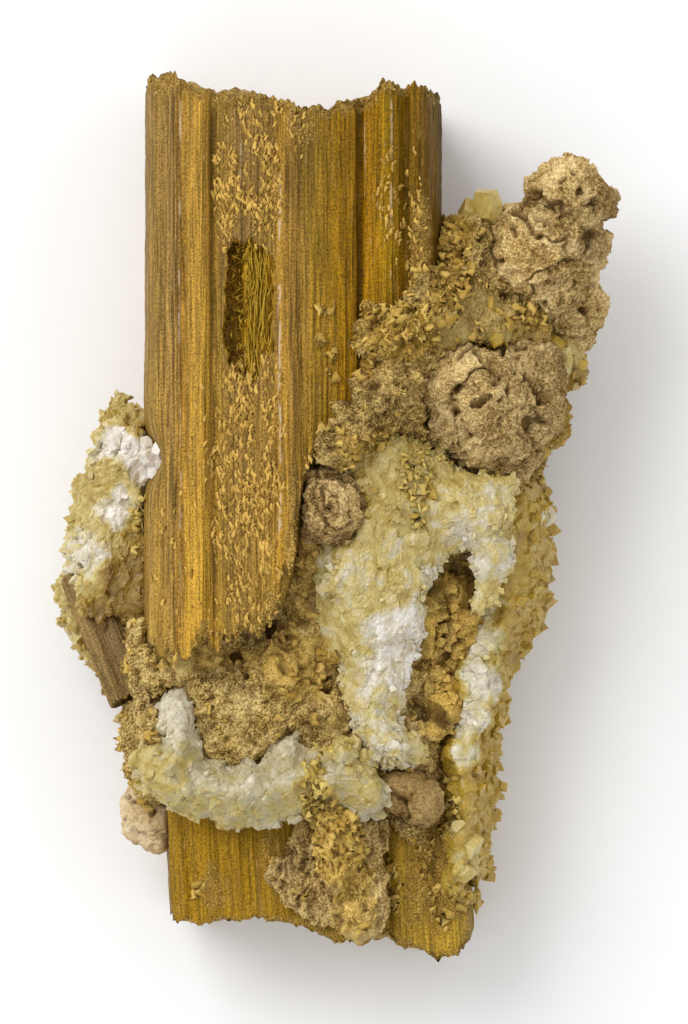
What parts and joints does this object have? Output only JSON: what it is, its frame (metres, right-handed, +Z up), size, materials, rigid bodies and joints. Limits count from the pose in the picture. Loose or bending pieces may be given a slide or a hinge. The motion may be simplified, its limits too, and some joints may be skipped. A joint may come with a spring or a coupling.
{
  "type": "gibbsite pseudomorph",
  "caption": "Broken, lengthwise-ribbed prisms with an open window, held in crumbly mineral with pale crystal crusts and knobbly brown nodules.",
  "frame": {"origin": "below the middle of the specimen, on the surface that it lies on", "axes": "+Y runs up the long prism, +X to the right of the display face, +Z up out of the display face"},
  "size_m": [0.0446, 0.0702, 0.0228],
  "materials": {
    "striated_prism": "finely striated, silky sheen on the ribs",
    "dark_prism": "finely striated, dull purplish brown",
    "crumbly_gibbsite": "rough, porous and crumbly, matt",
    "granular_crust": "granular, with small yellow flakes, matt",
    "pale_crystals": "milky to clear small crystals, vitreous sparkle",
    "olive_crystals": "olive to amber small crystals, vitreous sparkle",
    "brown_nodule": "porous, knobbly and matt",
    "pinkish_nodule": "smooth-lobed and matt"
  },
  "bodies": {
    "root": {"main_prism": "striated_prism", "lower_prism": "striated_prism", "side_prism": "dark_prism", "crumbly_gibbsite": "crumbly_gibbsite", "upper_gibbsite_crust": "granular_crust", "gibbsite_drape": "granular_crust", "fin_crystal_crust": "pale_crystals", "bottom_crystal_crust": "pale_crystals", "left_crystal_crust": "pale_crystals", "right_crystal_crust": "olive_crystals", "top_nodule": "brown_nodule", "middle_nodule": "brown_nodule", "small_nodule": "brown_nodule", "lower_nodule": "brown_nodule", "left_nodule": "pinkish_nodule"}
  },
  "joints": []
}
